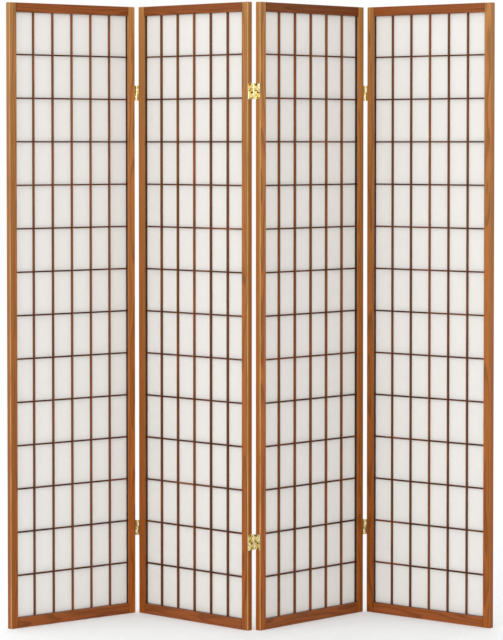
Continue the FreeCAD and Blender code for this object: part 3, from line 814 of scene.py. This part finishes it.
def first_strip(kind):
    """The middle and the size of a panel's first upright or cross strip, and the step to the next."""
    axis, piece = STRIP_ROWS[kind]
    low, high = first_space.piece_box(piece)
    border = STILE_WIDTH - LATTICE_LOW.x
    opening_low, opening_high = LATTICE_LOW[axis] + border, LATTICE_HIGH[axis] - border
    pitch = (opening_high - opening_low + border) / windows(kind)
    size = high - low
    size[axis] = high[axis] - low[axis] - (windows(kind) - 2) * pitch
    middle = (low + high) / 2
    middle[axis] = low[axis] + size[axis] / 2
    step = Vector((0, 0, 0))
    step[axis] = pitch
    return middle, size, step


def lattice_row(tree, panel, kind, material):
    """The strips of one kind in a panel: uprights notched behind, or crosses notched in front."""
    look = bpy.context.scene.screen_lattice
    other, notched_side = ("cross", 1) if kind == "upright" else ("upright", -1)
    middle, size, step = first_strip(kind)
    lap_middle, lap_size, lap_step = first_strip(other)
    lap_size = lap_size + Vector((look.lap_gap, 0, look.lap_gap)) * 2
    lap_size.y = size.y
    lap_middle.y = middle.y + notched_side * (size.y / 2 - look.lap_gap / 2)
    piece = grown(
        f"panel_{panel.number}_{kind}_strips",
        tree,
        {
            "First": middle,
            "Step": step,
            "Count": windows(kind) - 1,
            "Size": size,
            "Lap First": lap_middle,
            "Lap Step": lap_step,
            "Lap Count": windows(other) - 1,
            "Lap Size": lap_size,
            "Place": panel.origin,
            "Turn": panel.turn,
            "Material": material,
        },
        easing=look.easing,
    )
    node = STRIP_ROWS[kind][1]
    stand_for(piece, f"panel_{panel.number}", f"panel_{panel.number}_{node}")


# ---- one operator for each group of pieces -------------------------------------------------

class FinishFrames(bpy.types.Operator):
    """Stain the stiles, the rails and the beads of every panel"""

    bl_idname = "screen.finish_frames"
    bl_label = "Finish Frames"

    def execute(self, context):
        look = context.scene.screen_wood
        # the stiles' and beads' colour pair: stain, with painted sheen at the top and painted shade
        # towards the floor
        stile_stain_and_sheen = (look.stile_top_stain_and_sheen, look.stile_floor_stain_and_shade)
        rail_stain = (look.rail_stain, look.rail_stain)
        for panel in spaces.values():
            name, number = f"panel_{panel.number}", panel.number
            stile_boards, rail_boards = number + look.stile_seed, number + look.rail_seed
            stiles = wood(f"{name}_stiles", panel, "upright", stile_stain_and_sheen, stile_boards)
            rails = wood(f"{name}_rails", panel, "cross", rail_stain, rail_boards, joints=True)
            beads = wood(f"{name}_beads", panel, "round", stile_stain_and_sheen, number + BEAD_BOARDS)
            give(f"{name}_stile_left", stiles)
            give(f"{name}_stile_right", stiles)
            give(f"{name}_rail_top", rails)
            give(f"{name}_rail_bottom", rails)
            give(f"{name}_back_beads", beads)
        return {"FINISHED"}


class MakeLattices(bpy.types.Operator):
    """Make the half-lapped strips of every panel and stain their border"""

    bl_idname = "screen.make_lattices"
    bl_label = "Make Lattices"

    def execute(self, context):
        look = context.scene.screen_wood
        stains = {"upright": look.upright_stain, "cross": look.cross_stain}
        border_stain = (look.border_stain, look.border_stain)
        tree = strips_tree()
        for panel in spaces.values():
            name, number = f"panel_{panel.number}", panel.number
            for kind, stain in stains.items():
                axis = STRIP_ROWS[kind][0]
                middle, _, step = first_strip(kind)
                material = wood(
                    f"{name}_{kind}_wood",
                    panel,
                    kind,
                    (stain, [part * fade for part, fade in zip(stain, STRIP_FADE)]),
                    number + STRIP_BOARDS[kind],
                    boards=(middle[axis], step[axis]),
                    ring_scale=STRIP_RINGS,
                )
                lattice_row(tree, panel, kind, material)
            border = wood(
                f"{name}_border_wood",
                panel,
                "round",
                border_stain,
                number + BORDER_BOARDS,
                ring_scale=STRIP_RINGS,
            )
            give(f"{name}_lattice_border", border)
        return {"FINISHED"}


class MakePapers(bpy.types.Operator):
    """Make the sheet of paper behind every lattice"""

    bl_idname = "screen.make_papers"
    bl_label = "Make Papers"

    def execute(self, context):
        look = context.scene.screen_paper
        counts = context.scene.screen_lattice
        tree = paper_tree()
        material = paper_material()
        first_x, _, step_x = first_strip("upright")
        first_z, _, step_z = first_strip("cross")
        for panel in spaces.values():
            piece = grown(
                f"panel_{panel.number}_paper_sheet",
                tree,
                {
                    "Corner": PAPER_LOW,
                    "Size": PAPER_HIGH - PAPER_LOW,
                    "First Strip": Vector((first_x.x, 0, first_z.z)),
                    "Window": Vector((step_x.x, 1, step_z.z)),
                    "Columns": counts.columns,
                    "Rows": counts.rows,
                    "Cockle": look.cockle,
                    "Seed": panel.number * 3.7,
                    "Place": panel.origin,
                    "Turn": panel.turn,
                    "Material": material,
                },
            )
            for face in piece.data.polygons:
                face.use_smooth = True
            stand_for(piece, f"panel_{panel.number}", f"panel_{panel.number}_paper")
        return {"FINISHED"}


# a screw's sizes, as shares of the radius of its countersink
SCREW_SHARES = {
    "Head Radius": 0.995,
    "Shank Radius": 0.535,
    "Tip Radius": 0.05,
    "Recess Span": 1.2,
    "Recess Width": 0.27,
    "Recess Depth": 0.30,
}


def screw_islands(node):
    """The corners of each screw of a node, as one list for each screw."""
    shape = bmesh.new()
    shape.from_mesh(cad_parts[node].data)
    bmesh.ops.remove_doubles(shape, verts=shape.verts, dist=MILLIMETRE / 100)
    left = set(shape.verts)
    islands = []
    for start in shape.verts:
        if start not in left:
            continue
        left.discard(start)
        reached = [start]
        for vertex in reached:
            for edge in vertex.link_edges:
                other = edge.other_vert(vertex)
                if other in left:
                    left.discard(other)
                    reached.append(other)
        islands.append([vertex.co.copy() for vertex in reached])
    shape.free()
    return islands


class FinishHinges(bpy.types.Operator):
    """Plate the hinges and make their screws"""

    bl_idname = "screen.finish_hinges"
    bl_label = "Finish Hinges"

    def execute(self, context):
        look = context.scene.screen_brass
        leaf_brass = brass("leaf_brass", look.bright, 1.0)
        link_brass = brass("link_brass", look.bright, 0.8)
        pin_brass = brass("pin_brass", look.bright, 0.4)
        # darker screws: tarnished plating with a painted dark reflection
        screw_brass_and_dark_reflection = brass("screw_brass_and_dark_reflection", look.screw_tint_and_dark_reflection, 1.0)
        tree = screws_tree()
        for fold in FOLDS:
            for side, panel, sign in (("left", fold, 1), ("right", fold + 1, -1)):
                give(f"fold_{fold}_leaves_{side}", leaf_brass)
                give(f"fold_{fold}_pins_{side}", pin_brass)
                self.make_screws(tree, screw_brass_and_dark_reflection, fold, side, spaces[panel], sign)
            give(f"fold_{fold}_links_lower", link_brass)
            give(f"fold_{fold}_links_upper", link_brass)
        return {"FINISHED"}

    @staticmethod
    def make_screws(tree, material, fold, side, panel, sign):
        """The eight screws of a fold in one panel, each where the frame has it."""
        node = f"fold_{fold}_screws_{side}"
        outward = panel.rotation @ Vector((sign, 0, 0))
        points, reach = [], 0.0
        for corners in screw_islands(node):
            inside = [panel.inside(corner) for corner in corners]
            low, high = Vector(map(min, *inside)), Vector(map(max, *inside))
            middle = (low + high) / 2
            middle.x = high.x if sign > 0 else low.x
            points.append(panel.rotation @ middle + panel.origin)
            reach = max(reach, high.x - low.x)
            radius = (high.z - low.z) / 2
        piece = grown(
            f"fold_{fold}_{side}_screws",
            tree,
            {
                **{name: radius * part for name, part in SCREW_SHARES.items()},
                "Length": reach,
                "Outward": outward,
                "Seed": fold * 10 + sign,
                "Material": material,
            },
            points=points,
        )
        stand_for(piece, f"panel_{panel.number}", node)


FLOOR_RADIUS = 40.0

# each light's place, what it points at, how wide it is, and its share of the key light's power
LIGHTS = {
    "key": ((-2.6, -3.8, 2.3), (0, 0, 0.95), 2.4, 1.0),
    "fill": ((0.4, -4.6, 1.6), (0, 0, 0.8), 2.8, 0.5),
}


class MakeStage(bpy.types.Operator):
    """Make the floor, the lights and the camera"""

    bl_idname = "screen.make_stage"
    bl_label = "Make Stage"

    def execute(self, context):
        look = context.scene.screen_stage
        context.scene.view_settings.view_transform = "Standard"
        self.make_floor()
        self.make_air(context, look)
        for name, (place, target, size, part) in LIGHTS.items():
            self.make_light(name, place, target, size, look.key_power * part)
        self.make_camera(context, look)
        return {"FINISHED"}

    @staticmethod
    def make_floor():
        """A wide round floor."""
        shape = bmesh.new()
        bmesh.ops.create_circle(shape, cap_ends=True, radius=FLOOR_RADIUS, segments=96)
        mesh = bpy.data.meshes.new("floor")
        shape.to_mesh(mesh)
        shape.free()
        mesh.materials.append(floor_material())
        floor = bpy.data.objects.new("floor", mesh)
        bpy.context.scene.collection.objects.link(floor)

    @staticmethod
    def make_air(context, look):
        """Surroundings that look white but light the screen less from the right."""
        world = bpy.data.worlds.new("white_room")
        world.use_nodes = True
        context.scene.world = world
        tree = Tree(world.node_tree)
        way = tree.add("ShaderNodeTexCoord", output="Generated")
        x, y, z = tree.split(way)
        side = (y * 0.35 - x * 0.85 + z * 0.1).step(-0.9, 0.6, look.dim_side, 1.0)
        seen = tree.add("ShaderNodeLightPath", output="Is Camera Ray")
        strength = side * look.air * (1 - seen) + seen
        light = tree.add("ShaderNodeBackground", {}, {"Color": (1, 1, 1, 1), "Strength": strength})
        tree.add("ShaderNodeOutputWorld", {}, {"Surface": light})

    @staticmethod
    def make_light(name, place, target, size, power):
        """A soft round light that points at a place on the screen."""
        data = bpy.data.lights.new(name, "AREA")
        data.shape = "DISK"
        data.size = size
        data.energy = power
        light = bpy.data.objects.new(name, data)
        light.location = place
        light.rotation_euler = (Vector(target) - Vector(place)).to_track_quat("-Z", "Y").to_euler()
        bpy.context.scene.collection.objects.link(light)

    @staticmethod
    def make_camera(context, look):
        """A long lens at eye height, turned and shifted down a little to take in the whole screen."""
        data = bpy.data.cameras.new("camera")
        data.lens = look.lens
        data.sensor_width = 36.0
        data.shift_y = look.rise
        data.clip_end = 100.0
        camera = bpy.data.objects.new("camera", data)
        camera.location = (look.eye_x, -look.eye_y, look.eye_z)
        camera.rotation_euler = (math.pi / 2 - look.tilt, 0, 0)
        context.scene.collection.objects.link(camera)
        context.scene.camera = camera


OPERATORS = (FinishFrames, MakeLattices, MakePapers, FinishHinges, MakeStage)


class ScreenPanel(bpy.types.Panel):
    """The screen's sizes, colours and steps"""

    bl_idname = "VIEW3D_PT_folding_screen"
    bl_label = "Folding Screen"
    bl_space_type = "VIEW_3D"
    bl_region_type = "UI"
    bl_category = "Screen"

    def draw(self, context):
        for name, group in SETTINGS.items():
            box = self.layout.box()
            box.label(text=group.__doc__)
            for prop in group.__annotations__:
                box.prop(getattr(context.scene, name), prop)
        for operator in OPERATORS:
            self.layout.operator(operator.bl_idname)


CLASSES = (*SETTINGS.values(), *OPERATORS, ScreenPanel)


def register():
    for item in CLASSES:
        bpy.utils.register_class(item)
    for name, group in SETTINGS.items():
        setattr(bpy.types.Scene, name, bpy.props.PointerProperty(type=group))


def unregister():
    for name in SETTINGS:
        delattr(bpy.types.Scene, name)
    for item in reversed(CLASSES):
        bpy.utils.unregister_class(item)


def main():
    """Make everything in order."""
    register()
    bpy.ops.screen.finish_frames()
    bpy.ops.screen.make_lattices()
    bpy.ops.screen.make_papers()
    bpy.ops.screen.finish_hinges()
    bpy.ops.screen.make_stage()


if __name__ == "__main__":
    main()
